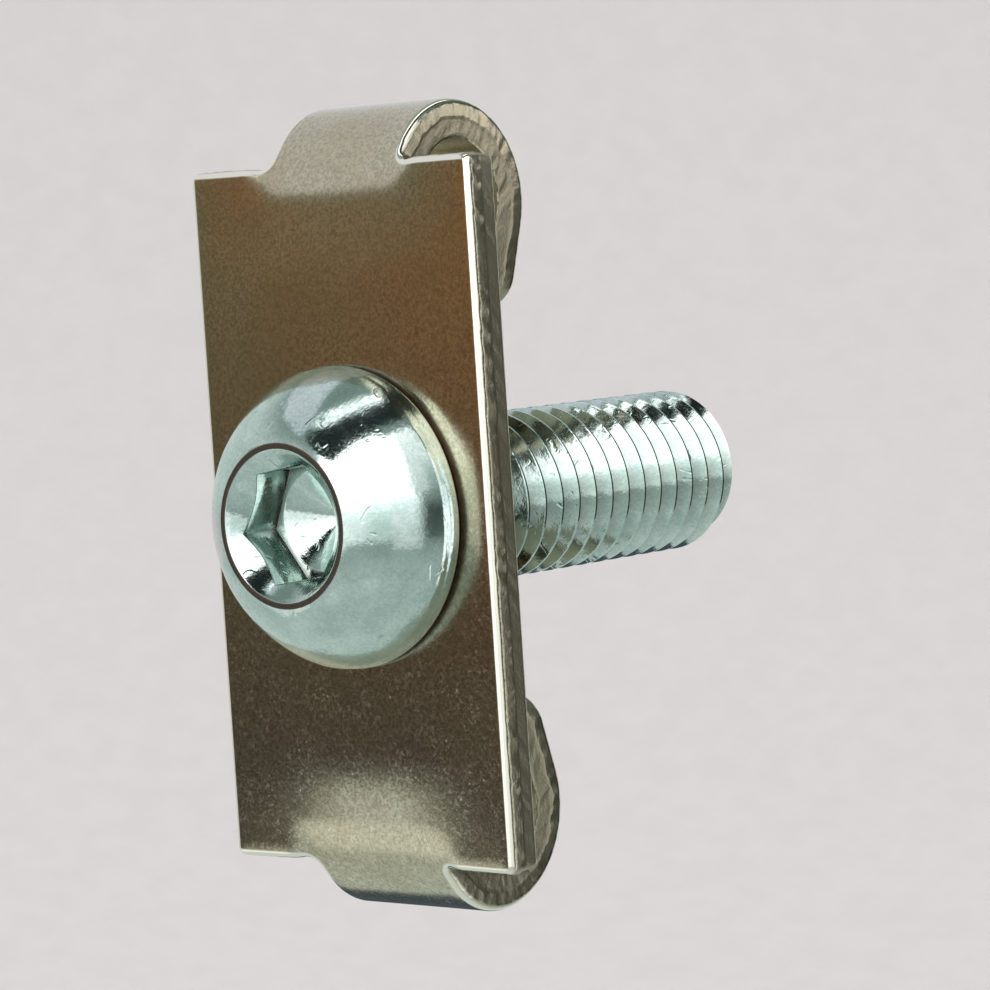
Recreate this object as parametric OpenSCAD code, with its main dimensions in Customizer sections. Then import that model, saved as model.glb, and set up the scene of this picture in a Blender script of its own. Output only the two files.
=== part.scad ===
// End fastener for slotted framing: a formed clamp plate with two hooked tabs, and the
// button head screw that pulls it towards the end of a profile.
// The origin is on the screw's axis, in the plate's back face, where its shoulders clamp.
// +X points right as seen from the head, +Y along the screw away from the head, +Z up.

/* [Plate] */
// Width of the plate across its shoulders
plate_w = 17; // [15:0.5:22]
// Height of the plate from shoulder to shoulder
plate_h = 32; // [31:0.5:40]
// Thickness of the sheet
sheet_t = 1.8; // [1.2:0.1:2.2]
// Corner radius of the flat blank
blank_corner_r = 0.4; // [0.2:0.1:1.5]

/* [Tabs] */
// Width of each tab, which slides in the slot of a profile
tab_w = 8; // [6:0.1:9]
// Distance from a shoulder's edge inwards to the line where its tab starts to bend
bend_inset = 2; // [1.5:0.1:3]
// Inner radius of the bend
bend_inner_r = 2.8; // [2:0.1:3.2]
// Angle through which each tab is turned back
bend_angle = 197; // [185:1:200]
// Length of the straight leg behind the bend
leg_l = 4; // [2.5:0.1:5]
// Radius of the two corners at the leg's free end
leg_corner_r = 1.5; // [0.5:0.1:2.5]

/* [Screw head] */
// Diameter of the head at its rim
head_d = 13.8; // [12:0.1:15]
// Height of the head
head_h = 4.4; // [4:0.1:5]
// Height above the plate at which the dome starts, on top of the rim's upright land
rim_h = 0.8; // [0.6:0.1:1.2]
// Radius of the rim's lower edge
rim_edge_r = 0.4; // [0.2:0.05:0.5]
// Diameter of the flat ring's outer edge on top of the head
crown_d = 7.5; // [7.2:0.1:9]
// Radius of the dome's curve between the rim and the crown
dome_r = 6; // [5:0.5:9]

/* [Hexagon socket] */
// Width across the socket's flats
socket_af = 5; // [4:0.1:5.5]
// Depth of the socket's flats below the crown
socket_depth = 2.7; // [2.2:0.1:3]
// Diameter of the countersink at the socket's mouth
countersink_d = 6.9; // [6.6:0.1:7.1]
// Full angle of the countersink at the socket's mouth
countersink_angle = 100; // [90:5:130]
// Amount by which the hexagon's pointed floor is narrower than its flats
floor_ledge = 0.3; // [0.1:0.1:0.6]
// Full angle of the hexagon's pointed floor
floor_angle = 120; // [110:5:150]
// Angle by which the socket's corners stand above the level
socket_turn = 8; // [0:1:59]

/* [Screw shank] */
// Length of the shank under the head
shank_l = 25; // [20:0.5:30]
// Outer diameter of the thread
thread_d = 7.9; // [6:0.1:8.5]
// Pitch of the thread
thread_pitch = 1.25; // [0.8:0.05:1.5]
// Depth of the thread's grooves, as a share of the pitch
groove_share = 0.56; // [0.5:0.01:0.65]
// Full angle of the thread's grooves
thread_angle = 60; // [55:1:60]
// Length of the plain neck under the head, counted in pitches of the thread
neck_pitches = 2; // [1.2:0.1:3]
// Depth of the plain neck under the head below the thread's crests
neck_undercut = 0.4; // [0.2:0.05:0.6]
// Length of the chamfer at the point
point_l = 1; // [0.5:0.1:1.5]
// Amount by which the plate's hole is wider than the thread
hole_clearance = 1.1; // [0.4:0.1:1.6]

/* [Hidden] */
$fn = 96;
// Room left past a solid where a cut has to run clear through it
over = 1;
// Amount by which a leg's faces lie inside those of its bend, so that their outlines cross
hair = 0.002;
hole_d = thread_d + hole_clearance;
bend_outer_r = bend_inner_r + sheet_t;
// Height of a bend's centre above the screw's axis
bend_z = plate_h / 2 - bend_inset;
neck_d = thread_d - 2 * neck_undercut;
neck_l = neck_pitches * thread_pitch;
thread_depth = groove_share * thread_pitch;
// Width of the thread's crests along the screw
crest_w = thread_pitch / 8;
socket_corner_d = socket_af / cos(30);

// Flat outline of a rectangle whose corners are rounded to the same radius
module rounded_rectangle(w, h, r) {
    square([w - 2 * r, h], center = true);
    square([w, h - 2 * r], center = true);
    for (x = [-1, 1], z = [-1, 1])
        translate([x * (w / 2 - r), z * (h / 2 - r)]) circle(r = r);
}

// Outline of the flat middle of the plate, open at each end where the tab bends out of its plane
module blank_outline() {
    difference() {
        rounded_rectangle(plate_w, plate_h, blank_corner_r);
        for (side = [-1, 1])
            translate([-tab_w / 2, side > 0 ? bend_z : -bend_z - bend_inset - over])
                square([tab_w, bend_inset + over]);
        circle(d = hole_d);
    }
}

// Flat middle of the plate, between its front face and the clamping face at Y = 0
module flat_sheet() {
    rotate([90, 0, 0]) linear_extrude(sheet_t) blank_outline();
}

// Side outline that fills a tab's bend out to one radius: its root, its turn and its straight leg
module bend_filled(r, extra_l) {
    root_l = bend_outer_r + extra_l;
    reach = leg_l + extra_l;
    circle(r = r);
    translate([-r, -root_l]) square([r, root_l]);
    rotate(180 - bend_angle) translate([0, -reach]) square([r - hair, reach]);
}

// Cutter that trims the leg's free end to a tongue with two rounded corners
module leg_trim() {
    r = leg_corner_r;
    rotate([180 - bend_angle, 0, 0]) rotate([90, 0, 0]) mirror([0, 0, 1]) linear_extrude(bend_outer_r + over)
        difference() {
            translate([-tab_w / 2 - over, -leg_l - bend_outer_r])
                square([tab_w + 2 * over, bend_outer_r + r]);
            translate([-tab_w / 2, r - leg_l]) square([tab_w, over]);
            translate([r - tab_w / 2, -leg_l]) square([tab_w - 2 * r, r + over]);
            for (x = [-1, 1]) translate([x * (tab_w / 2 - r), r - leg_l]) circle(r = r);
        }
}

// Tab at the top of the plate, hooked back towards the screw
module hooked_tab() {
    translate([0, bend_outer_r - sheet_t, bend_z]) difference() {
        rotate([90, 0, 90]) linear_extrude(tab_w, center = true) difference() {
            bend_filled(bend_outer_r, 0);
            bend_filled(bend_inner_r, over);
        }
        leg_trim();
    }
}

module clamp_plate() {
    color([0.48, 0.40, 0.29]) {
        flat_sheet();
        hooked_tab();
        mirror([0, 0, 1]) hooked_tab();
    }
}

// Half section of the head outside the socket, with the radius along X and the height along Y
module head_profile() {
    rim_r = head_d / 2;
    crown_r = crown_d / 2;
    chord = [crown_r - rim_r, head_h - rim_h];
    middle = [(crown_r + rim_r) / 2, (head_h + rim_h) / 2];
    to_centre = sqrt(pow(dome_r, 2) - pow(norm(chord) / 2, 2)) / norm(chord);
    intersection() {
        translate(middle + to_centre * [-chord[1], chord[0]]) circle(r = dome_r);
        translate([0, rim_edge_r]) square([rim_r, head_h - rim_edge_r]);
    }
    square([rim_r - rim_edge_r, rim_h]);
    intersection() {
        translate([rim_r - rim_edge_r, rim_edge_r]) circle(r = rim_edge_r);
        square([rim_r, rim_edge_r]);
    }
}

module head() {
    rotate_extrude() head_profile();
}

// Cone that stands on its point, with its wide end at height 0
module pointed_cone(d, angle) {
    h = d / 2 / tan(angle / 2);
    translate([0, 0, -h]) cylinder(d1 = 0, d2 = d, h = h);
}

// Socket as it is pressed and countersunk, with its mouth at height 0
module socket() {
    rotate(socket_turn) translate([0, 0, -socket_depth])
        cylinder(d = socket_corner_d, h = socket_depth + over, $fn = 6);
    translate([0, 0, -socket_depth]) pointed_cone(socket_af - floor_ledge, floor_angle);
    pointed_cone(countersink_d, countersink_angle);
}

// Outline of one groove of the thread, with its mouth at X = 0, whose flanks run on past the mouth by a margin
module groove_outline(margin) {
    slope = tan(thread_angle / 2);
    mouth_half = (thread_pitch - crest_w) / 2;
    floor_half = mouth_half - thread_depth * slope;
    outer_half = mouth_half + margin * slope;
    polygon([[-thread_depth, -floor_half], [margin, -outer_half], [margin, outer_half], [-thread_depth, floor_half]]);
}

// Half section of the neck, the thread and the point, from the head's seat downwards
module shank_profile() {
    thread_r = thread_d / 2;
    thread_top = neck_l + neck_undercut;
    thread_end = shank_l - point_l;
    turns = ceil((thread_end - thread_top) / thread_pitch);
    difference() {
        polygon([
            [0, 0], [neck_d / 2, 0], [neck_d / 2, -neck_l], [thread_r, -thread_top],
            [thread_r, -thread_end], [thread_r - point_l, -shank_l], [0, -shank_l]
        ]);
        for (turn = [0 : turns - 1])
            translate([thread_r, -thread_top - (turn + 1 / 2) * thread_pitch]) groove_outline(crest_w / 2);
    }
}

// Shank whose thread is drawn as rings, one pitch apart, as a stand-in for its helix
module shank() {
    rotate_extrude() shank_profile();
}

module button_head_screw() {
    color([0.72, 0.76, 0.76]) translate([0, -sheet_t, 0]) rotate([90, 0, 0]) {
        difference() {
            head();
            translate([0, 0, head_h]) socket();
        }
        shank();
    }
}

clamp_plate();
button_head_screw();
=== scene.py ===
"""End fastener for slotted framing: a formed clamp plate, its button head screw and a small studio."""

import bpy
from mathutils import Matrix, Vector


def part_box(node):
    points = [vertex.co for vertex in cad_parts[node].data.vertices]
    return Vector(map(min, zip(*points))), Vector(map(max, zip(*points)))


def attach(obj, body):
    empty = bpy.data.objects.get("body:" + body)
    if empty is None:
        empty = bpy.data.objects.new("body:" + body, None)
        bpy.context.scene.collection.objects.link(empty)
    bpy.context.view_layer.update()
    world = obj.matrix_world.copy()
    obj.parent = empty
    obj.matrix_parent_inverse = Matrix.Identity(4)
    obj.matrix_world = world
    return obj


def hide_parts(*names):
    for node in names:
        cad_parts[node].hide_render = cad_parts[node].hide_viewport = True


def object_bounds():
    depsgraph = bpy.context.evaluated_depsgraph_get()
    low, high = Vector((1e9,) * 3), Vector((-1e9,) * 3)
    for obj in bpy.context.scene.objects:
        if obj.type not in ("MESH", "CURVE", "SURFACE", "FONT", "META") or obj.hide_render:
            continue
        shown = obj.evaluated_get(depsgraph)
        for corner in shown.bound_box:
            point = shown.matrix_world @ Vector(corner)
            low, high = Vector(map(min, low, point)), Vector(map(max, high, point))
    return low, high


bl_info = {
    "name": "Extrusion End Fastener",
    "version": (1, 0, 0),
    "blender": (4, 5, 0),
    "location": "3D View > Sidebar > Fastener",
    "description": "Builds a hooked clamp plate and its button head screw around their packed solids",
    "category": "Mesh",
}

import math

import bmesh
import bpy
import numpy as np
from mathutils import Matrix, Quaternion, Vector, noise
from mathutils.geometry import delaunay_2d_cdt

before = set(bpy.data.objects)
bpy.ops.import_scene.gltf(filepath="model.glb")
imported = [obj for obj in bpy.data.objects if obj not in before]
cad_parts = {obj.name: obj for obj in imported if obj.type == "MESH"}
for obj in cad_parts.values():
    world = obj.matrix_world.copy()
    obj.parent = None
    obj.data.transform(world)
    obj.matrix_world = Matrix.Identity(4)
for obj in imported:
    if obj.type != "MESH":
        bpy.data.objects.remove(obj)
CAD_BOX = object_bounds()
PLATE_LOW, PLATE_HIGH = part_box("clamp_plate")
SCREW_LOW, SCREW_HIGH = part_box("button_head_screw")
MM = 0.001
# The fastener is held by its tabs, so the floor lies well below it
FLOOR_Z = CAD_BOX[0].z - 80 * MM


def length(name, description, default):
    """A size in metres that the sidebar shows as a distance."""
    return bpy.props.FloatProperty(
        name=name, description=description, default=default, precision=5, unit="LENGTH", subtype="DISTANCE"
    )


def angle(name, description, degrees):
    """An angle in degrees that the sidebar shows as a rotation."""
    return bpy.props.FloatProperty(
        name=name, description=description, default=math.radians(degrees), unit="ROTATION", subtype="ANGLE"
    )


def tint(name, description, code):
    """A colour that the sidebar shows as a swatch."""
    return bpy.props.FloatVectorProperty(
        name=name, description=description, default=linear(code), size=4, min=0, max=1, subtype="COLOR"
    )


def linear(code):
    """Linear colour with alpha from an sRGB hex value such as #c0ffee."""
    channels = [int(code[i:i + 2], 16) / 255 for i in (1, 3, 5)]
    return tuple(c / 12.92 if c <= 0.04045 else ((c + 0.055) / 1.055) ** 2.4 for c in channels) + (1.0,)


class FASTENER_PG_plate(bpy.types.PropertyGroup):
    """Sizes of the clamp plate"""

    sheet: length("Sheet", "Thickness of the sheet", -PLATE_LOW.y)
    width: length("Width", "Width across the shoulders", PLATE_HIGH.x - PLATE_LOW.x)
    height: length("Height", "Height from shoulder to shoulder", 32 * MM)
    corner: length("Corner", "Radius of the blank's corners", 0.4 * MM)
    hole: length("Hole", "Diameter of the clearance hole", 9 * MM)
    tab: length("Tab", "Width of each tab", 8 * MM)
    fillet: length("Root Fillet", "Radius between a shoulder and a tab's side", 0.5 * MM)
    bend: length("Bend Radius", "Outer radius of the bend", (PLATE_HIGH.y - PLATE_LOW.y) / 2)
    turn: angle("Bend Angle", "Angle through which a tab is turned back", 197)
    leg: length("Leg", "Straight length behind the bend", 4 * MM)
    leg_corner: length("Leg Corner", "Radius of the leg's two corners", 1.5 * MM)
    rollover: length("Rollover", "Radius that the punch leaves on the front edges", 0.36 * MM)
    burnish: length("Burnish", "Depth of the smooth part of a sheared edge", 0.85 * MM)
    tear: length("Tear", "Roughness of the torn part of a sheared edge", 0.05 * MM)
    dish: length("Dish", "Depth to which a bend drags the plate behind its root", 0.3 * MM)


class FASTENER_PG_screw(bpy.types.PropertyGroup):
    """Sizes of the button head screw"""

    seat: length("Seat", "Height of the head's seat along the screw", PLATE_LOW.y)
    head: length("Head", "Diameter of the head", SCREW_HIGH.x - SCREW_LOW.x)
    rim: length("Rim", "Height of the rim's upright land", 0.8 * MM)
    rim_edge: length("Rim Edge", "Radius of the rim's lower edge", 0.4 * MM)
    dome: length("Dome", "Radius of the dome's curve", 6 * MM)
    crown: length("Crown", "Outer diameter of the flat ring on top", 7.5 * MM)
    countersink: length("Countersink", "Diameter of the socket's countersink", 6.9 * MM)
    countersink_angle: angle("Countersink Angle", "Full angle of the countersink", 100)
    socket: length("Socket", "Width across the flats", 5 * MM)
    socket_depth: length("Socket Depth", "Depth of the flats", 2.7 * MM)
    socket_turn: angle("Socket Turn", "Angle of the socket's corners above the level", 8)
    thread: length("Thread", "Outer diameter of the thread", 7.9 * MM)
    pitch: length("Pitch", "Pitch of the thread", 1.25 * MM)
    thread_depth: length("Thread Depth", "Depth of the thread", 0.7 * MM)
    neck: length("Neck", "Diameter of the plain neck", 7.1 * MM)
    neck_length: length("Neck Length", "Length of the plain neck", 2.5 * MM)
    point: length("Point", "Length of the chamfer at the point", 1 * MM)


class FASTENER_PG_colours(bpy.types.PropertyGroup):
    """Colours of the finishes and of the studio"""

    nickel: tint("Nickel", "Nickel plate", "#c6c0ab")
    nickel_dull: tint("Dull Nickel", "Nickel plate where it is thin and yellowed", "#b8ae93")
    nickel_pored: tint("Pored Nickel", "Nickel plate in the sheet's pores", "#a49c86")
    # Painted highlight: the colour of the painted glints on the grain and of the painted highlight along the
    # rolled over front edges
    nickel_glint: tint("Bright Nickel", "Nickel plate that the press or the barrel has polished", "#ece6d8")
    torn_steel: tint("Torn Steel", "Plated torn edge", "#98907c")
    zinc: tint("Zinc", "Bright zinc plate", "#ccd8d3")
    zinc_blue: tint("Blue Zinc", "Zinc plate with a bluish film", "#afc0bb")
    # Painted shade: the colour laid into the screw's crevices, under its rim, on its seat and in its thread's
    # roots, and also the colour of the dark flat ring round its socket
    crevice_shade_and_dark_ring: tint("Crevice Shade And Dark Ring", "Thin, oily plate in crevices and on the socket's pressed edge", "#645652")
    sweep: tint("Sweep", "Floor and backdrop", "#d9d7d8")


# Sockets of a Mix node that blends colours
MIX_FIRST, MIX_SECOND, MIX_RESULT = 6, 7, 2


def add_node(tree, kind, sockets=None, result=0, **settings):
    """Adds one shader node, whose sockets take a value or another node's output, and returns one output."""
    made = tree.nodes.new("ShaderNode" + kind)
    for name, value in settings.items():
        setattr(made, name, value)
    for socket, value in (sockets or {}).items():
        if isinstance(value, bpy.types.NodeSocket):
            tree.links.new(value, made.inputs[socket])
        else:
            made.inputs[socket].default_value = value
    return made.outputs[result] if made.outputs else None


def new_material(name):
    """A material with an empty node tree."""
    material = bpy.data.materials.new(name)
    material.use_nodes = True
    material.node_tree.nodes.clear()
    return material, material.node_tree


def satin_nickel(colours):
    """Nickel plate on cold rolled, stamped steel: a warm, slightly blurred mirror over a fine grain, with
    painted glints on the grain and a painted highlight along its front edges.
    """
    material, tree = new_material("satin_nickel_on_stamped_steel")
    place = add_node(tree, "TexCoord", result="Object")
    torn = add_node(tree, "Attribute", result="Fac", attribute_name="torn")
    # The rolled over front edges carry a painted highlight, and are also a little smoother
    polish_and_edge_glint = add_node(tree, "Attribute", result="Fac", attribute_name="polish_and_edge_glint")
    height = add_node(tree, "SeparateXYZ", {"Vector": place}, "Z")
    # The plate is thinner and yellower in clouds of 5 mm
    clouds = add_node(tree, "TexNoise", {"Vector": place, "Scale": 1 / (5 * MM), "Detail": 3})
    # Pores of the rolled sheet measure 0.05 mm, and are drawn at 0.16 mm so that they show
    pores = add_node(
        tree, "TexNoise", {"Vector": place, "Scale": 1 / (0.16 * MM), "Detail": 3, "Distortion": 0.5},
    )
    # Painted glints: bright specks of 0.2 mm that stand in for the grain catching the light, in patches of
    # 1.6 mm, with more of them towards the lower tab as a painted gradient of light
    grains = add_node(
        tree, "TexNoise", {"Vector": place, "Scale": 1 / (0.2 * MM), "Detail": 2, "Distortion": 1.2},
    )
    spread = add_node(tree, "TexNoise", {"Vector": place, "Scale": 1 / (1.6 * MM), "Detail": 2})
    patches = add_node(
        tree, "MapRange", {"Value": spread, "From Min": 0.35, "From Max": 0.6, "To Min": 0.3, "To Max": 0.8},
    )
    # Painted light: the glints grow towards the lower tab
    lower_glint_gradient = add_node(
        tree, "MapRange",
        {"Value": height, "From Min": 6 * MM, "From Max": -6 * MM, "To Min": 0.3, "To Max": 1.0},
    )
    share = add_node(tree, "Math", {0: patches, 1: lower_glint_gradient}, operation="MULTIPLY")
    grain_glints = add_node(tree, "MapRange", {"Value": grains, "From Min": 0.48, "From Max": 0.78})
    glint_specks = add_node(tree, "Math", {0: grain_glints, 1: share}, operation="MULTIPLY")
    # The torn edge breaks in crumbs of 0.14 mm
    tears = add_node(tree, "TexNoise", {"Vector": place, "Scale": 1 / (0.14 * MM), "Detail": 4})

    dulled = add_node(tree, "MapRange", {"Value": clouds, "From Min": 0.35, "From Max": 0.65})
    plate = add_node(
        tree, "Mix",
        {"Factor": dulled, MIX_FIRST: tuple(colours.nickel), MIX_SECOND: tuple(colours.nickel_dull)},
        MIX_RESULT, data_type="RGBA",
    )
    filled = add_node(tree, "MapRange", {"Value": pores, "From Min": 0.35, "From Max": 0.6})
    pored = add_node(
        tree, "Mix", {"Factor": filled, MIX_FIRST: tuple(colours.nickel_pored), MIX_SECOND: plate},
        MIX_RESULT, data_type="RGBA",
    )
    # The painted glints and the painted edge highlight lighten the plate's colour
    painted_glints = add_node(tree, "Math", {0: glint_specks, 1: polish_and_edge_glint}, operation="MAXIMUM")
    marked = add_node(
        tree, "Mix", {"Factor": painted_glints, MIX_FIRST: pored, MIX_SECOND: tuple(colours.nickel_glint)},
        MIX_RESULT, data_type="RGBA",
    )
    colour = add_node(
        tree, "Mix", {"Factor": torn, MIX_FIRST: marked, MIX_SECOND: tuple(colours.torn_steel)},
        MIX_RESULT, data_type="RGBA",
    )

    # Roughness 0.16 to 0.2, up to 0.13 more on the painted glint specks, 0.05 less on the rolled over edges
    # that carry a painted highlight, and 0.42 where torn
    clouded = add_node(
        tree, "MapRange", {"Value": clouds, "From Min": 0.3, "From Max": 0.7, "To Min": 0.16, "To Max": 0.2},
    )
    speckled = add_node(tree, "Math", {0: glint_specks, 1: 0.13}, operation="MULTIPLY")
    sheet_rough = add_node(tree, "Math", {0: clouded, 1: speckled}, operation="ADD")
    smoothed = add_node(tree, "Math", {0: polish_and_edge_glint, 1: 0.05}, operation="MULTIPLY")
    plain_rough = add_node(tree, "Math", {0: sheet_rough, 1: smoothed}, operation="SUBTRACT")
    torn_rough = add_node(tree, "Math", {0: torn, 1: 0.42}, operation="MULTIPLY")
    rough = add_node(tree, "Math", {0: plain_rough, 1: torn_rough}, operation="MAXIMUM")

    # The grain is 3 micrometres deep, and the torn edge up to 25
    skin = add_node(tree, "Bump", {"Height": pores, "Distance": 0.003 * MM, "Strength": 1.0})
    crumbs = add_node(tree, "Math", {0: tears, 1: torn}, operation="MULTIPLY")
    broken = add_node(
        tree, "Bump", {"Height": crumbs, "Distance": 0.025 * MM, "Strength": 1.0, "Normal": skin},
    )
    surface = add_node(
        tree, "BsdfPrincipled",
        {"Base Color": colour, "Metallic": 1.0, "Roughness": rough, "Normal": broken},
    )
    add_node(tree, "OutputMaterial", {"Surface": surface})
    return material


def bright_zinc(colours):
    """Bright zinc plate on a cold headed screw: a bluish mirror, wavy and mottled, with painted shade in its
    crevices and a dark flat ring round its socket.
    """
    material, tree = new_material("bright_zinc_on_headed_steel")
    place = add_node(tree, "TexCoord", result="Object")
    # Painted shade in the crevices, under the rim and in the thread's roots, and the dark flat ring round the
    # socket, all in one mark
    crevice_shade_and_dark_ring = add_node(tree, "Attribute", result="Fac", attribute_name="crevice_shade_and_dark_ring")
    # The bluish film varies over 2.2 mm
    film = add_node(tree, "TexNoise", {"Vector": place, "Scale": 1 / (2.2 * MM), "Detail": 3})
    # The plating's crystals measure 10 micrometres, and are drawn at 0.16 mm so that they show
    frost = add_node(
        tree, "TexNoise", {"Vector": place, "Scale": 1 / (0.16 * MM), "Detail": 3, "Distortion": 0.6},
    )
    filmed = add_node(
        tree, "MapRange", {"Value": film, "From Min": 0.4, "From Max": 0.62, "To Min": 0.0, "To Max": 0.7},
    )
    frosted = add_node(
        tree, "MapRange", {"Value": frost, "From Min": 0.4, "From Max": 0.6, "To Min": 0.0, "To Max": 0.5},
    )
    mottle = add_node(tree, "Math", {0: filmed, 1: frosted}, operation="ADD")
    plated = add_node(
        tree, "Mix", {"Factor": mottle, MIX_FIRST: tuple(colours.zinc), MIX_SECOND: tuple(colours.zinc_blue)},
        MIX_RESULT, data_type="RGBA",
    )
    colour = add_node(
        tree, "Mix", {"Factor": crevice_shade_and_dark_ring, MIX_FIRST: plated, MIX_SECOND: tuple(colours.crevice_shade_and_dark_ring)},
        MIX_RESULT, data_type="RGBA",
    )

    # Roughness 0.07 to 0.13, up to 0.1 more in the frost, and 0.4 in the painted shade and on the dark ring
    film_rough = add_node(
        tree, "MapRange", {"Value": film, "From Min": 0.35, "From Max": 0.65, "To Min": 0.07, "To Max": 0.13},
    )
    frost_rough = add_node(
        tree, "MapRange", {"Value": frost, "From Min": 0.5, "From Max": 0.75, "To Min": 0.0, "To Max": 0.1},
    )
    clean_rough = add_node(tree, "Math", {0: film_rough, 1: frost_rough}, operation="ADD")
    shaded_rough = add_node(tree, "Math", {0: crevice_shade_and_dark_ring, 1: 0.4}, operation="MULTIPLY")
    rough = add_node(tree, "Math", {0: clean_rough, 1: shaded_rough}, operation="MAXIMUM")

    # Headed surfaces wave by some 12 micrometres over a millimetre
    waves = add_node(tree, "TexNoise", {"Vector": place, "Scale": 1 / (0.9 * MM), "Detail": 2})
    swell = add_node(tree, "Bump", {"Height": waves, "Distance": 0.012 * MM, "Strength": 1.0})
    # A few nicks from the barrel in which the screws are plated, 10 micrometres deep
    knocks = add_node(
        tree, "TexNoise", {"Vector": place, "Scale": 1 / (0.9 * MM), "Detail": 1, "Distortion": 1.5},
    )
    nicks = add_node(tree, "MapRange", {"Value": knocks, "From Min": 0.66, "From Max": 0.76})
    nicked = add_node(
        tree, "Bump", {"Height": nicks, "Distance": 0.01 * MM, "Strength": 1.0, "Normal": swell}, invert=True,
    )
    # The frost stands 4.5 micrometres high
    skin = add_node(
        tree, "Bump", {"Height": frost, "Distance": 0.0045 * MM, "Strength": 1.0, "Normal": nicked},
    )
    surface = add_node(
        tree, "BsdfPrincipled",
        {"Base Color": colour, "Metallic": 1.0, "Roughness": rough, "Normal": skin},
    )
    add_node(tree, "OutputMaterial", {"Surface": surface})
    return material


def painted_sweep(colours):
    """Matt emulsion on board: a pale, even ground."""
    material, tree = new_material("matt_emulsion_on_board")
    place = add_node(tree, "TexCoord", result="Object")
    # The roller leaves clouds of 5 mm, 3% darker
    clouds = add_node(tree, "TexNoise", {"Vector": place, "Scale": 1 / (5 * MM), "Detail": 6})
    pale = tuple(colours.sweep)
    shaded = tuple(channel * 0.97 for channel in pale[:3]) + (1.0,)
    covered = add_node(tree, "MapRange", {"Value": clouds, "From Min": 0.35, "From Max": 0.65})
    colour = add_node(
        tree, "Mix", {"Factor": covered, MIX_FIRST: shaded, MIX_SECOND: pale}, MIX_RESULT, data_type="RGBA",
    )
    surface = add_node(tree, "BsdfPrincipled", {"Base Color": colour, "Roughness": 0.9})
    add_node(tree, "OutputMaterial", {"Surface": surface})
    return material


def reflector_board():
    """Unlit coloured board that only polished metal sees: its colour comes from its own corners."""
    material, tree = new_material("coloured_reflector_board")
    shade = add_node(tree, "Attribute", result="Color", attribute_name="shade")
    glow = add_node(tree, "Emission", {"Color": shade, "Strength": 1.0})
    add_node(tree, "OutputMaterial", {"Surface": glow})
    return material


def smooth(value):
    """Eases from 0 to 1, level at both ends."""
    clipped = np.clip(value, 0, 1)
    return clipped * clipped * (3 - 2 * clipped)


def arc(centre, radius, start, end, step):
    """Points on an arc between two angles in degrees, about step apart."""
    count = max(3, math.ceil(abs(math.radians(end - start)) * radius / step))
    turns = np.radians(np.linspace(start, end, count + 1))
    return [(centre[0] + radius * math.cos(t), centre[1] + radius * math.sin(t)) for t in turns]


def evenly(points, step):
    """Points of a closed loop, spaced evenly along it."""
    loop = np.array(points + points[:1])
    gaps = np.hypot(*np.diff(loop, axis=0).T)
    run = np.concatenate([[0], np.cumsum(gaps)])
    stops = np.linspace(0, run[-1], round(run[-1] / step), endpoint=False)
    return np.c_[np.interp(stops, run, loop[:, 0]), np.interp(stops, run, loop[:, 1])]


def outward(loop):
    """Unit normals of a loop, which point to its right as it is walked."""
    along = np.roll(loop, -1, axis=0) - np.roll(loop, 1, axis=0)
    along /= np.hypot(*along.T)[:, None]
    return np.c_[along[:, 1], -along[:, 0]]


def bend_line(plate):
    """Distance from the screw's axis to the line where a tab starts to bend."""
    return PLATE_HIGH.z - plate.bend


def tab_end(plate):
    """Developed distance from the screw's axis to a leg's free end, on the sheet's front face."""
    return bend_line(plate) + plate.bend * plate.turn + plate.leg


def blank_outline(plate, step):
    """Outline of the flat blank, anticlockwise, with both tabs laid out straight."""
    half_w, half_h, half_t = plate.width / 2, plate.height / 2, plate.tab / 2
    end = tab_end(plate)
    quarter = [(half_w, 0)]
    quarter += arc((half_w - plate.corner, half_h - plate.corner), plate.corner, 0, 90, step / 3)
    quarter += arc((half_t + plate.fillet, half_h + plate.fillet), plate.fillet, -90, -180, step / 3)
    quarter += arc((half_t - plate.leg_corner, end - plate.leg_corner), plate.leg_corner, 0, 90, step)
    quarter += [(0, end)]
    top = quarter + [(-u, v) for u, v in quarter[-2::-1]]
    return evenly(top + [(u, -v) for u, v in top[-2:0:-1]], step)


def fold(plate, u, v, depth):
    """Place of a point of the blank after bending, from its distances across, along and into the sheet."""
    line = bend_line(plate)
    shoulder = plate.height / 2
    along = np.abs(v)
    turn = np.clip((along - line) / plate.bend, 0, plate.turn)
    past = np.maximum(along - line - plate.bend * plate.turn, 0)
    radius = plate.bend - depth
    bent_y = plate.bend - plate.sheet - radius * np.cos(turn) + past * np.sin(turn)
    bent_z = np.minimum(along, line) + radius * np.sin(turn) + past * np.cos(turn)
    # A band of the plate on each side of a tab's root is dragged part of the way round with it, and past the
    # shoulder's edge the whole tab is bent
    drag_from, drag_to = plate.tab / 2 - 0.8 * MM, plate.tab / 2 + 1.4 * MM
    tab_only = 1 * MM
    beside = smooth((np.abs(u) - drag_from) / (drag_to - drag_from))
    free = beside * (1 - smooth((along - shoulder) / tab_only))
    y = bent_y * (1 - free) + (depth - plate.sheet) * free
    z = bent_z * (1 - free) + np.minimum(along, shoulder + tab_only) * free
    # The bend starts softly: it drags a dish into the sheet, which fades out along and across it
    dish_from, dish_rise, dish_fall = 10.5 * MM, 5.5 * MM, 6 * MM
    full_width, fade_width = 1 * MM, 7.4 * MM
    sunk = smooth((along - dish_from) / dish_rise) * (1 - smooth((along - shoulder) / dish_fall))
    reach = 1 - smooth((np.abs(u) - full_width) / fade_width)
    return np.c_[u, y + plate.dish * sunk * reach, z * np.sign(v)]


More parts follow.
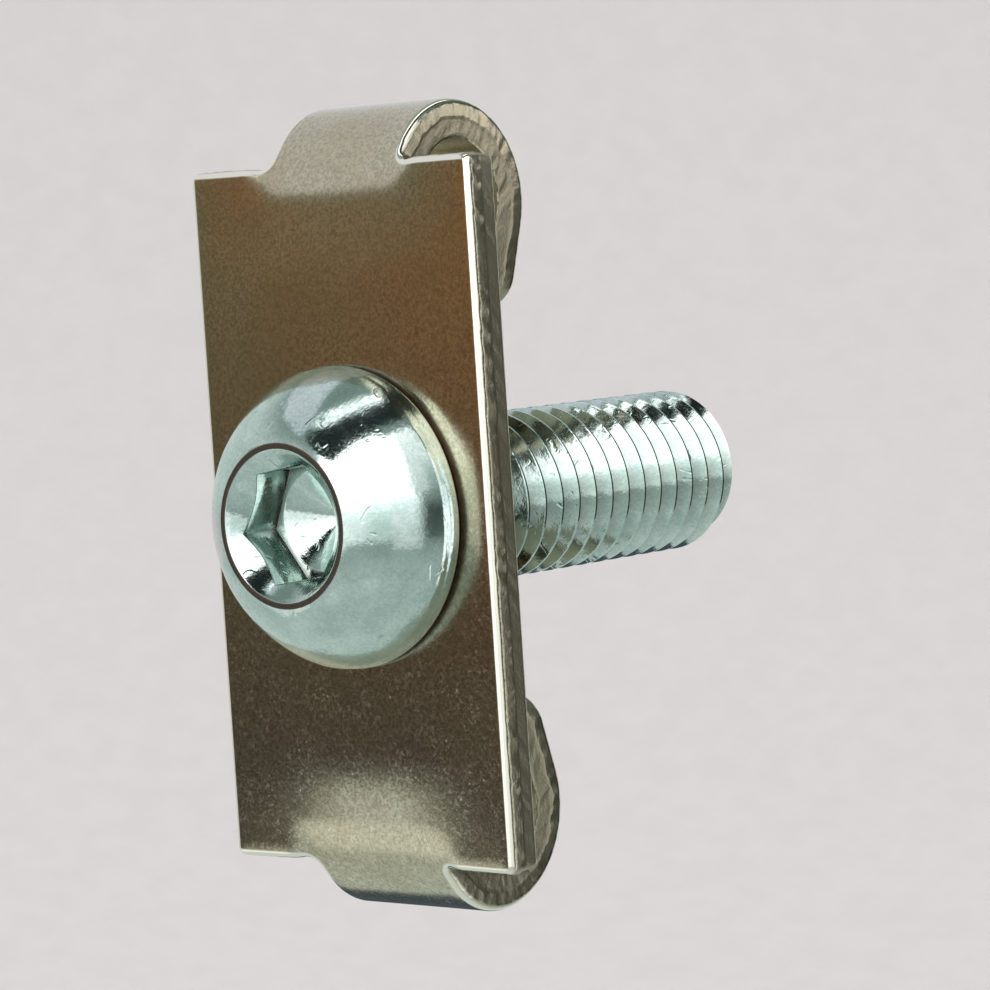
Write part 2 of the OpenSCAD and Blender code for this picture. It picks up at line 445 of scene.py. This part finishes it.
def blank_grid(plate, loops, clearance):
    """Points inside the blank, closer together where it bends, and no nearer to its edges than clearance."""
    coarse, fine, fine_from = 0.45 * MM, 0.26 * MM, 10 * MM
    end = tab_end(plate)
    across = np.arange(-plate.width / 2, plate.width / 2, coarse)
    flat_rows = np.arange(0, fine_from, coarse)
    bent_rows = np.arange(fine_from, end, fine)
    rows = np.concatenate([-bent_rows[::-1], -flat_rows[:0:-1], flat_rows, bent_rows])
    u, v = [axis.ravel() for axis in np.meshgrid(across, rows)]
    in_plate = (np.abs(u) < plate.width / 2) & (np.abs(v) < plate.height / 2)
    in_tab = (np.abs(u) < plate.tab / 2) & (np.abs(v) < end)
    keep = (in_plate | in_tab) & (np.hypot(u, v) > plate.hole / 2)
    spots = np.c_[u, v][keep]
    edge = np.concatenate(loops)
    near = np.array([np.hypot(*(edge - spot).T).min() for spot in spots])
    # Distances past the centres of the leg's corners
    past_u = np.abs(spots[:, 0]) - plate.tab / 2 + plate.leg_corner
    past_v = np.abs(spots[:, 1]) - end + plate.leg_corner
    outside = (past_u > 0) & (past_v > 0) & (np.hypot(past_u, past_v) > plate.leg_corner)
    return spots[(near > clearance) & ~outside]


def sheet_side(plate, loops, normals, inset):
    """Triangles of one side of the blank, inside its loops set in by inset. The loops' points come first."""
    rims = [loop - normal * inset for loop, normal in zip(loops, normals)]
    margin = 0.2 * MM
    points = np.concatenate(rims + [blank_grid(plate, loops, inset + margin)])
    edges, start = [], 0
    for rim in rims:
        count = len(rim)
        edges += [(start + i, start + (i + 1) % count) for i in range(count)]
        start += count
    # The triangulation works in millimetres, so that its tolerance suits the sizes
    spots = [Vector((x, y)) for x, y in points / MM]
    inside_only, tolerance = 1, 1e-5
    found, _, faces, origins, _, _ = delaunay_2d_cdt(spots, edges, [], inside_only, tolerance)
    first = [origin[0] for origin in origins]
    hole_r = (plate.hole / 2 + inset) / MM
    kept = []
    for face in faces:
        middle = sum((found[i] for i in face), Vector((0, 0))) / len(face)
        if middle.length > hole_r:
            kept.append([first[i] for i in face])
    return points, kept


# How far the torn edge is set in where it meets the plate's back
BACK_INSET = 0.16 * MM


def sheared_rows(plate, places):
    """Rows of a sheared edge, front to back: each one's inset, its depth, how torn it is, and how much
    painted highlight and polish it has.
    """
    rows = []
    # The rolled over rows carry a painted highlight, full over the front half of the roll and fading over the
    # rest
    rollover_steps = 7
    for i in range(rollover_steps + 1):
        turn = math.pi / 2 * i / rollover_steps
        scuffed = smooth((i / rollover_steps - 0.5) / 0.5)
        rows.append((
            plate.rollover * (1 - math.sin(turn)), plate.rollover * (1 - math.cos(turn)),
            0.7 * scuffed, 1 - scuffed,
        ))
    # The burnished band ends in a narrow step, and the torn one leans in behind it
    step_half = 0.05 * MM
    rows.append((0.0, plate.burnish - step_half, 0.7, 0.0))
    rows.append((0.0, plate.burnish, 0.8, 0.0))
    torn_steps = 6
    torn_start, torn_end = plate.burnish + step_half, plate.sheet - 0.1 * MM
    first_inset, more_inset = 0.03 * MM, 0.07 * MM
    for i in range(torn_steps + 1):
        share = i / torn_steps
        depth = torn_start + (torn_end - torn_start) * share
        rows.append((first_inset + more_inset * share, depth, 1.0, 0.0))
    rows.append((BACK_INSET, plate.sheet, 0.0, 0.0))
    # The step wavers up and down along the edge, and the torn rows are crumbled, each in its own way
    waver_length, waver_height = 0.9 * MM, 0.12 * MM
    crumb_length, crumb_height, row_shift = 0.32 * MM, 0.04 * MM, 0.45
    waver = np.array([noise.noise(Vector(place) / waver_length) for place in places])
    made = []
    for number, (inset, depth, torn, polish_and_edge_glint) in enumerate(rows):
        shift = Vector((0, 0, row_shift * number))
        crumbs = np.array([noise.noise(Vector(place) / crumb_length + shift) for place in places])
        wavers = plate.burnish * 0.9 <= depth <= plate.burnish * 1.2
        made.append((
            inset + torn * plate.tear * (crumbs + 0.4),
            depth + (waver_height * waver if wavers else 0.0) + torn * crumb_height * crumbs,
            torn, polish_and_edge_glint,
        ))
    return made


def clamp_plate_mesh(plate):
    """The folded sheet with its rolled over, burnished and torn edges."""
    step = 0.14 * MM
    outline = blank_outline(plate, step)
    hole = evenly(arc((0, 0), plate.hole / 2, 0, -360, step)[:-1], step * 2)
    loops = [outline, hole]
    normals = [outward(loop) for loop in loops]
    front, front_faces = sheet_side(plate, loops, normals, plate.rollover)
    back, back_faces = sheet_side(plate, loops, normals, BACK_INSET)
    # Both sides start with the loops' own points, and the rows of a loop's sheared edge are joined to those
    vertices = [fold(plate, front[:, 0], front[:, 1], np.zeros(len(front)))]
    marks = [np.zeros((len(front) + len(back), 2))]
    faces = [tuple(face) for face in front_faces]
    back_start = len(front)
    vertices.append(fold(plate, back[:, 0], back[:, 1], np.full(len(back), plate.sheet)))
    faces += [tuple(back_start + i for i in reversed(face)) for face in back_faces]
    total = len(front) + len(back)
    rim_start = 0
    for loop, normal in zip(loops, normals):
        count = len(loop)
        rows = sheared_rows(plate, fold(plate, loop[:, 0], loop[:, 1], np.zeros(count)))
        starts = [rim_start]
        for inset, depth, torn, polish_and_edge_glint in rows[1:-1]:
            set_in = loop - normal * np.broadcast_to(inset, (count,))[:, None]
            vertices.append(fold(plate, set_in[:, 0], set_in[:, 1], np.broadcast_to(depth, (count,))))
            marks.append(np.full((count, 2), (torn, polish_and_edge_glint)))
            starts.append(total)
            total += count
        starts.append(back_start + rim_start)
        for upper, lower in zip(starts, starts[1:]):
            for i in range(count):
                after = (i + 1) % count
                faces.append((upper + i, lower + i, lower + after, upper + after))
        rim_start += count
    mesh = bpy.data.meshes.new("clamp_plate_formed")
    mesh.from_pydata(np.concatenate(vertices).tolist(), [], faces)
    # The torn marks, and the painted highlight with polish on the rolled over edges, go to the material
    for column, name in enumerate(("torn", "polish_and_edge_glint")):
        values = np.concatenate(marks)[:, column]
        mesh.attributes.new(name, "FLOAT", "POINT").data.foreach_set("value", values)
    return mesh


def finish_mesh(mesh, crease):
    """Turns a mesh's normals outwards and shades it smooth, but for edges sharper than crease degrees."""
    merged = 0.0004 * MM
    work = bmesh.new()
    work.from_mesh(mesh)
    bmesh.ops.remove_doubles(work, verts=work.verts, dist=merged)
    bmesh.ops.dissolve_degenerate(work, edges=work.edges, dist=merged)
    bmesh.ops.recalc_face_normals(work, faces=work.faces)
    work.to_mesh(mesh)
    work.free()
    mesh.shade_smooth()
    mesh.set_sharp_from_angle(angle=math.radians(crease))


class TurnedSurface:
    """Rings of points about the screw's axis, joined one to the next from the socket's floor to the point."""

    def __init__(self, count, start):
        self.count = count
        # Angles run right-handed about +Y, from +Z towards +X
        self.angles = start + np.arange(count) * math.tau / count
        self.vertices = []
        self.faces = []
        # Share of painted shade, or of the dark ring's colour, at each point
        self.crevice_shade_and_dark_ring = []

    def place(self, radius, height):
        """Points of one ring, whose radius and height are one number or one for each column."""
        radius = np.broadcast_to(radius, (self.count,))
        height = np.broadcast_to(height, (self.count,))
        return np.c_[radius * np.sin(self.angles), height, radius * np.cos(self.angles)]

    def ring(self, radius, height, crevice_shade_and_dark_ring=0.0):
        """Adds a ring, with its share of painted shade or of the dark ring's colour, and joins it to the one
        before.
        """
        start = len(self.vertices)
        self.vertices += self.place(radius, height).tolist()
        self.crevice_shade_and_dark_ring += [crevice_shade_and_dark_ring] * self.count
        if start:
            self.join(start - self.count, start)

    def join(self, first, second):
        """Faces between two rings, given the number of each ring's first point."""
        for i in range(self.count):
            after = (i + 1) % self.count
            self.faces.append((first + i, first + after, second + after, second + i))


def dome_points(screw, steps):
    """Radius and height above the seat of points down the dome's curve, from the crown to the rim."""
    crown = np.array([screw.crown / 2, screw.seat - SCREW_LOW.y])
    rim = np.array([screw.head / 2, screw.rim])
    chord = crown - rim
    span = np.hypot(*chord)
    inwards = np.array([-chord[1], chord[0]]) / span
    centre = (crown + rim) / 2 + inwards * math.sqrt(screw.dome ** 2 - (span / 2) ** 2)
    first = math.atan2(*(crown - centre)[::-1])
    last = math.atan2(*(rim - centre)[::-1])
    turns = np.linspace(first, last, steps + 1)
    return [(centre[0] + screw.dome * math.cos(t), centre[1] + screw.dome * math.sin(t)) for t in turns]


# Radius of the small edges that heading leaves on the screw
EDGE = 0.05 * MM


def add_socket(surface, screw):
    """Hexagon socket with its drilled floor, its upright flats and the countersink at its mouth."""
    crown_y = SCREW_LOW.y
    sixth = math.tau / 6
    from_corner = np.mod(surface.angles - surface.angles[0], sixth)
    flats = screw.socket / 2 / np.cos(from_corner - sixth / 2)
    floor_y = crown_y + screw.socket_depth
    # The drill's point is narrower than the flats by a ledge, and its full angle is 120 degrees
    ledge, point_half_angle = 0.15 * MM, math.radians(60)
    cone_r = screw.socket / 2 - ledge
    for share in (0.02, 0.3, 0.6, 0.97, 1.0):
        surface.ring(cone_r * share, floor_y + cone_r * (1 - share) / math.tan(point_half_angle))
    # Painted shade in the corners round the socket's floor
    surface.ring(flats - EDGE, floor_y, 0.6)
    surface.ring(flats - EDGE * 0.3, floor_y - EDGE * 0.3, 0.6)
    surface.ring(flats, floor_y - EDGE, 0.5)
    slope = math.tan(screw.countersink_angle / 2)
    mouth_r = screw.countersink / 2
    mouth_y = crown_y + (mouth_r - flats) / slope
    for share in (0.35, 0.7):
        surface.ring(flats, floor_y - EDGE + (mouth_y + EDGE - floor_y + EDGE) * share)
    surface.ring(flats, mouth_y + EDGE)
    surface.ring(flats + EDGE * 0.35, mouth_y)
    for share in (0.1, 0.4, 0.7, 0.97):
        radius = flats + (mouth_r - flats) * share
        surface.ring(radius, crown_y + (mouth_r - radius) / slope)
    surface.ring(mouth_r, crown_y + 0.01 * MM)
    # From here the flat ring on top is coloured dark
    surface.ring(mouth_r + 0.03 * MM, crown_y, 0.9)


def add_head(surface, screw):
    """Flat crown, dome, upright rim and the seat, with small radii between them."""
    crown_r = screw.crown / 2
    # The flat ring on top stays dark out to its edge
    surface.ring(crown_r - EDGE, SCREW_LOW.y, 0.9)
    # The crown turns into the dome over a few hundredths of a millimetre
    surface.ring(crown_r - 0.02 * MM, SCREW_LOW.y + 0.006 * MM)
    surface.ring(crown_r, SCREW_LOW.y + 0.012 * MM)
    dome_steps = 22
    for radius, height in dome_points(screw, dome_steps)[1:-1]:
        surface.ring(radius, screw.seat - height)
    rim_r = screw.head / 2
    # The rim's land leans in by some 8 degrees, as the die leaves it
    for inset, height in ((0.08, screw.rim + 0.03 * MM), (0.05, screw.rim - 0.03 * MM),
                          (0.005, screw.rim_edge + 0.03 * MM)):
        surface.ring(rim_r - inset * MM, screw.seat - height)
    # Painted shade deepens round the rim's lower edge and is full at the seat, where the plate's shadow falls
    rim_steps = 7
    for step in range(rim_steps + 1):
        turn = math.pi / 2 * step / rim_steps
        surface.ring(
            rim_r - screw.rim_edge * (1 - math.cos(turn)),
            screw.seat - screw.rim_edge * (1 - math.sin(turn)),
            smooth(step / 3),
        )
    neck_r = screw.neck / 2
    fillet, fillet_steps = 0.4 * MM, 4
    surface.ring((rim_r + neck_r) / 2, screw.seat, 1.0)
    for step in range(fillet_steps + 1):
        turn = math.pi / 2 * step / fillet_steps
        surface.ring(neck_r + fillet * (1 - math.sin(turn)), screw.seat + fillet * (1 - math.cos(turn)))


def add_thread(surface, screw):
    """Rolled right-handed thread that starts out of the neck and ends in the chamfered point."""
    start_y = screw.seat + screw.neck_length
    end_y = SCREW_HIGH.y
    crest, root = screw.thread / 2, screw.thread / 2 - screw.thread_depth
    neck_r, tip_r = screw.neck / 2, screw.thread / 2 - screw.point
    # Radius along one pitch as shares of it: the root, a straight flank, the crest and the other flank
    profile = ((0.0, 0.0), (0.08, 0.03), (0.14, 0.12), (0.42, 0.92), (0.46, 1.0), (0.5, 1.0),
               (0.54, 1.0), (0.58, 0.92), (0.86, 0.12), (0.92, 0.03))
    count, rows = surface.count, len(profile)
    turns = math.ceil((end_y - start_y) / screw.pitch) + 2
    first = len(surface.vertices)
    # The rows climb by one pitch a turn, so the last column meets the first one turn's rows further on
    lead = screw.pitch * (surface.angles - surface.angles[0]) / math.tau
    for turn in range(turns):
        for share, rise in profile:
            height = np.clip(start_y + screw.pitch * (turn - 1 + share) + lead, start_y, end_y)
            radius = np.full(count, root + (crest - root) * rise)
            # The thread grows out of the neck over one pitch
            grown = smooth((height - start_y) / screw.pitch)
            radius = neck_r + (radius - neck_r) * grown
            radius = np.minimum(radius, tip_r + (end_y - height) * (crest - tip_r) / screw.point)
            surface.vertices += surface.place(radius, height).tolist()
            # Painted shade in the thread's roots
            surface.crevice_shade_and_dark_ring += [0.5 * (1 - rise) ** 2] * count
    for row in range((turns - 1) * rows - 1):
        here = first + row * count
        for i in range(count):
            wraps = i == count - 1
            near, far = here + i, here + (rows * count if wraps else i + 1)
            surface.faces.append((near, far, far + count, near + count))


def close_point(surface, screw):
    """Shallow dimple that thread rolling leaves in the screw's end."""
    tip_r = screw.thread / 2 - screw.point
    # Radius as a share of the point's, and depth in millimetres
    dimple = ((0.82, 0.02), (0.6, 0.16), (0.3, 0.24), (0.02, 0.26))
    surface.vertices += surface.place(tip_r, SCREW_HIGH.y).tolist()
    surface.crevice_shade_and_dark_ring += [0.0] * surface.count
    for share, sink in dimple:
        surface.ring(tip_r * share, SCREW_HIGH.y - sink * MM)


def button_head_screw_mesh(screw):
    """The whole screw as one closed surface of 144 columns, which start at one of the socket's corners."""
    columns = 144
    surface = TurnedSurface(columns, math.pi / 2 - screw.socket_turn)
    add_socket(surface, screw)
    add_head(surface, screw)
    surface.ring(screw.neck / 2, screw.seat + screw.neck_length)
    add_thread(surface, screw)
    close_point(surface, screw)
    for ring_start in (0, len(surface.vertices) - surface.count):
        surface.faces.append(tuple(range(ring_start, ring_start + surface.count)))
    mesh = bpy.data.meshes.new("button_head_screw_turned")
    mesh.from_pydata(surface.vertices, [], surface.faces)
    # The painted shade and the dark ring go to the material
    mesh.attributes.new("crevice_shade_and_dark_ring", "FLOAT", "POINT").data.foreach_set("value", surface.crevice_shade_and_dark_ring)
    return mesh


def add_piece(name, mesh, material, body, node):
    """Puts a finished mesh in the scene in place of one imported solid."""
    piece = bpy.data.objects.new(name, mesh)
    mesh.materials.append(material)
    bpy.context.scene.collection.objects.link(piece)
    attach(piece, body)
    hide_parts(node)


class FASTENER_OT_clamp_plate(bpy.types.Operator):
    """Build the stamped plate with its two hooked tabs"""

    bl_idname = "fastener.clamp_plate"
    bl_label = "Clamp Plate"

    def execute(self, context):
        mesh = clamp_plate_mesh(context.scene.fastener_plate)
        finish_mesh(mesh, crease=50)
        material = satin_nickel(context.scene.fastener_colours)
        add_piece("formed_clamp_plate", mesh, material, "plate", "clamp_plate")
        return {"FINISHED"}


class FASTENER_OT_screw(bpy.types.Operator):
    """Build the button head screw with its socket and its rolled thread"""

    bl_idname = "fastener.screw"
    bl_label = "Button Head Screw"

    def execute(self, context):
        mesh = button_head_screw_mesh(context.scene.fastener_screw)
        finish_mesh(mesh, crease=32)
        material = bright_zinc(context.scene.fastener_colours)
        add_piece("threaded_screw", mesh, material, "screw", "button_head_screw")
        return {"FINISHED"}


# Boards that only polished metal sees. A curved board stands upright round the fastener: the azimuth of its
# middle and its half width in degrees, its distance, the angle over which its two sides' colours blend, and
# rows of an elevation, the colours of its sides of lower and of higher azimuth, and its brightness. Azimuth 0
# is straight in front of the screw's head, and 90 towards +X. Where a row would lie under the floor, the
# board runs along the floor instead.
CURVED_BOARDS = {
    "room": (0, 180, 480 * MM, 200, (
        (-88, "#d2deda", "#d2deda", 1.0), (-40, "#d2deda", "#bccac5", 1.0), (-8, "#cad6d2", "#505c58", 1.0),
        (24, "#e8f0ee", "#5b6763", 1.0), (44, "#98a8a2", "#798781", 1.0), (62, "#8c9c96", "#8c9c96", 1.0),
    )),
    "glow_board": (-52, 16, 112 * MM, 40, (
        (-40, "#e2e8e4", "#e2e8e4", 1.35), (-20, "#e2e8e4", "#e2e8e4", 1.25),
    )),
    "warm_board": (-42, 24, 160 * MM, 12, (
        (-19, "#3c3a35", "#403a35", 1.0), (-8, "#545046", "#584a3c", 1.0), (4, "#847e68", "#986e46", 1.0),
        (22, "#989688", "#988a74", 1.0),
    )),
    "key_board": (30, 46, 300 * MM, 14, (
        (-50, "#d0dbd8", "#cdd8d5", 1.0), (-32, "#eaf0ee", "#dee6e4", 1.3), (-18, "#f4f8f7", "#dee6e4", 1.4),
        (-6, "#f6f9f9", "#ccd8d4", 1.5), (4, "#ffffff", "#d4dfdc", 2.0), (10, "#ffffff", "#f4f8f8", 2.6),
        (58, "#ffffff", "#ffffff", 2.6),
    )),
    "right_board": (76, 26, 260 * MM, 12, (
        (-24, "#dee6e4", "#b8c6c2", 1.0), (-13, "#eef4f2", "#5a6863", 1.1), (4, "#f4f8f8", "#39423f", 1.6),
        (13, "#ffffff", "#7b8582", 2.0),
    )),
    "rim_board": (112, 8, 260 * MM, 10, (
        (-45, "#f4f8f8", "#f4f8f8", 1.7), (40, "#f4f8f8", "#f4f8f8", 1.7),
    )),
    "back_board": (156, 22, 260 * MM, 10, (
        (-30, "#2b2f29", "#343830", 1.0), (-6, "#363c34", "#40463c", 1.0), (8, "#4a5148", "#525850", 1.0),
    )),
    "right_white_board": (87, 15, 250 * MM, 10, (
        (14, "#ffffff", "#a8b6b2", 1.0), (30, "#ffffff", "#c8d4d1", 1.3), (40, "#ffffff", "#ffffff", 1.4),
        (60, "#ffffff", "#ffffff", 1.6),
    )),
}
# Flat boards beside the tabs: their place along X, their corners along Y and Z, their colour and brightness
SIDE_BOARDS = {
    "upper_tab_board": (-14, ((-26, 26.4), (-10, 18.8), (22, 18.8), (22, 42), (-26, 42)), "#f4f8ff", 0.88),
    "lower_tab_board": (-14, ((2, -24), (13, -20), (30, -19), (30, -46), (10, -46)), "#4c5862", 1.0),
    "hook_side_board": (12, ((8.6, 15.8), (18, 15.8), (18, 22), (8.6, 22)), "#ffffff", 2.0),
}
# Flat boards overhead: their height, their corners along X and Y, their colour and brightness
OVERHEAD_BOARDS = {
    "dark_overhead_board": (200, (
        (-110, -190), (-76, -290), (0, -310), (74, -115), (94, 24), (94, 180), (34, 180), (34, 54), (16, -36),
        (-34, -114),
    ), "#1c2725", 1.0),
    "white_overhead_board": (200, (
        (-84, -130), (-36, -116), (14, -34), (32, 54), (32, 180), (4, 180), (4, 60), (-16, -18),
    ), "#ffffff", 2.2),
}
# Lamps that face the fastener: their place, their size, their power in watts and their colour
SOFTBOXES = {
    "overhead_softbox": ((0.0, 0.0, 0.75), (0.7, 0.7), 2.8, "#fffaf4"),
    "front_softbox": ((0.1, -0.3, 0.07), (0.12, 0.2), 0.2, "#ffffff"),
}


def add_board(name, vertices, faces, shades, material):
    """One board that lights itself and is seen in polished metal only."""
    mesh = bpy.data.meshes.new(name)
    mesh.from_pydata(vertices, [], faces)
    mesh.color_attributes.new("shade", "FLOAT_COLOR", "POINT").data.foreach_set("color", np.ravel(shades))
    mesh.materials.append(material)
    board = bpy.data.objects.new(name, mesh)
    bpy.context.scene.collection.objects.link(board)
    board.visible_camera = False
    board.visible_diffuse = False
    board.visible_shadow = False


def add_curved_board(name, azimuth, half_width, distance, blend, rows, material):
    """Upright board on an arc round the fastener, in strips two degrees wide or less."""
    fewest_strips, above_floor = 9, 2 * MM
    columns = max(fewest_strips, half_width) + 1
    vertices, shades = [], []
    for elevation, low_side, high_side, brightness in rows:
        for offset in np.linspace(-half_width, half_width, columns):
            turn = math.radians(azimuth + offset)
            rise = math.tan(math.radians(elevation))
            reach = min(distance, (FLOOR_Z + above_floor) / rise) if elevation < 0 else distance
            vertices.append((reach * math.sin(turn), -reach * math.cos(turn), reach * rise))
            share = smooth(offset / blend + 0.5)
            blended = np.array(linear(low_side)) * (1 - share) + np.array(linear(high_side)) * share
            shades.append(brightness * blended)
    faces = [
        (row * columns + i, row * columns + i + 1, (row + 1) * columns + i + 1, (row + 1) * columns + i)
        for row in range(len(rows) - 1) for i in range(columns - 1)
    ]
    add_board(name, vertices, faces, shades, material)


def add_flat_board(name, vertices, colour, brightness, material):
    """Flat board of one colour, whose corners are given in millimetres."""
    vertices = [tuple(value * MM for value in vertex) for vertex in vertices]
    shades = [np.array(linear(colour)) * brightness] * len(vertices)
    add_board(name, vertices, [tuple(range(len(vertices)))], shades, material)


def add_softbox(name, place, size, watts, colour):
    """One rectangular lamp, aimed at the origin."""
    lamp = bpy.data.lights.new(name, "AREA")
    lamp.shape = "RECTANGLE"
    lamp.size, lamp.size_y = size
    lamp.energy = watts
    lamp.color = linear(colour)[:3]
    box = bpy.data.objects.new(name, lamp)
    box.location = place
    box.rotation_euler = (Vector() - Vector(place)).to_track_quat("-Z", "Y").to_euler()
    # Polished metal mirrors the boards instead of the lamps
    box.visible_camera = False
    box.visible_glossy = False
    bpy.context.scene.collection.objects.link(box)


def add_sweep(material):
    """Floor that curves up into a wall all round, far below and behind the fastener."""
    flat_r, curve_r, top_z = 300 * MM, 240 * MM, 700 * MM
    profile = [(2 * MM, FLOOR_Z), (flat_r / 2, FLOOR_Z)]
    profile += arc((flat_r, FLOOR_Z + curve_r), curve_r, -90, 0, 14 * MM)
    profile.append((flat_r + curve_r, top_z))
    count = 96
    vertices = [
        (r * math.cos(math.tau * i / count), r * math.sin(math.tau * i / count), z)
        for r, z in profile for i in range(count)
    ]
    faces = [tuple(range(count))]
    for inner in range(0, (len(profile) - 1) * count, count):
        outer = inner + count
        for i in range(count):
            after = (i + 1) % count
            faces.append((inner + i, inner + after, outer + after, outer + i))
    mesh = bpy.data.meshes.new("sweep")
    mesh.from_pydata(vertices, [], faces)
    mesh.shade_smooth()
    mesh.materials.append(material)
    sweep = bpy.data.objects.new("sweep", mesh)
    bpy.context.scene.collection.objects.link(sweep)


def add_camera():
    """Camera to the right of the fastener, a little above it, and turned so that upright edges lean left."""
    place = Vector((118.5, -131.0, 12.8)) * MM
    target = Vector((0, 8.6, 0)) * MM
    lens = bpy.data.cameras.new("camera")
    lens.sensor_width = 36
    lens.lens = 141
    camera = bpy.data.objects.new("camera", lens)
    aim = (target - place).to_track_quat("-Z", "Y")
    lean = Quaternion((0, 0, 1), math.radians(-3.7))
    camera.matrix_world = Matrix.Translation(place) @ (aim @ lean).to_matrix().to_4x4()
    bpy.context.scene.collection.objects.link(camera)
    bpy.context.scene.camera = camera


class FASTENER_OT_stage(bpy.types.Operator):
    """Set up the pale sweep, the boards, the soft lamps and the camera"""

    bl_idname = "fastener.stage"
    bl_label = "Studio"

    def execute(self, context):
        scene = context.scene
        scene.view_settings.view_transform = "Standard"
        add_sweep(painted_sweep(scene.fastener_colours))
        board = reflector_board()
        for name, shape in CURVED_BOARDS.items():
            add_curved_board(name, *shape, board)
        for name, (x, corners, colour, brightness) in SIDE_BOARDS.items():
            add_flat_board(name, [(x, y, z) for y, z in corners], colour, brightness, board)
        for name, (z, corners, colour, brightness) in OVERHEAD_BOARDS.items():
            add_flat_board(name, [(x, y, z) for x, y in corners], colour, brightness, board)
        for name, lamp in SOFTBOXES.items():
            add_softbox(name, *lamp)
        world = bpy.data.worlds.new("soft_room")
        world.use_nodes = True
        tree = world.node_tree
        # The room lights as a pale one, and where no board is, metal mirrors it as a grey green one
        mirrored = add_node(tree, "LightPath", result="Is Glossy Ray")
        ceiling = add_node(
            tree, "Mix", {"Factor": mirrored, MIX_FIRST: linear("#eef0f1"), MIX_SECOND: linear("#93a39d")},
            MIX_RESULT, data_type="RGBA",
        )
        tree.links.new(ceiling, tree.nodes["Background"].inputs["Color"])
        scene.world = world
        add_camera()
        return {"FINISHED"}


class FASTENER_PT_sidebar(bpy.types.Panel):
    """Lists the pieces of the fastener and its studio"""

    bl_idname = "FASTENER_PT_sidebar"
    bl_label = "End Fastener"
    bl_space_type = "VIEW_3D"
    bl_region_type = "UI"
    bl_category = "Fastener"

    def draw(self, context):
        scene = context.scene
        steps = ((FASTENER_OT_clamp_plate, scene.fastener_plate), (FASTENER_OT_screw, scene.fastener_screw),
                 (FASTENER_OT_stage, scene.fastener_colours))
        for operator, group in steps:
            box = self.layout.box()
            box.operator(operator.bl_idname)
            for name in group.__annotations__:
                box.prop(group, name)


GROUPS = {
    "fastener_plate": FASTENER_PG_plate,
    "fastener_screw": FASTENER_PG_screw,
    "fastener_colours": FASTENER_PG_colours,
}
CLASSES = (
    *GROUPS.values(), FASTENER_OT_clamp_plate, FASTENER_OT_screw, FASTENER_OT_stage, FASTENER_PT_sidebar,
)


def register():
    for item in CLASSES:
        bpy.utils.register_class(item)
    for name, group in GROUPS.items():
        setattr(bpy.types.Scene, name, bpy.props.PointerProperty(type=group))


def unregister():
    for name in GROUPS:
        delattr(bpy.types.Scene, name)
    for item in reversed(CLASSES):
        bpy.utils.unregister_class(item)


def main():
    register()
    bpy.ops.fastener.clamp_plate()
    bpy.ops.fastener.screw()
    bpy.ops.fastener.stage()


if __name__ == "__main__":
    main()
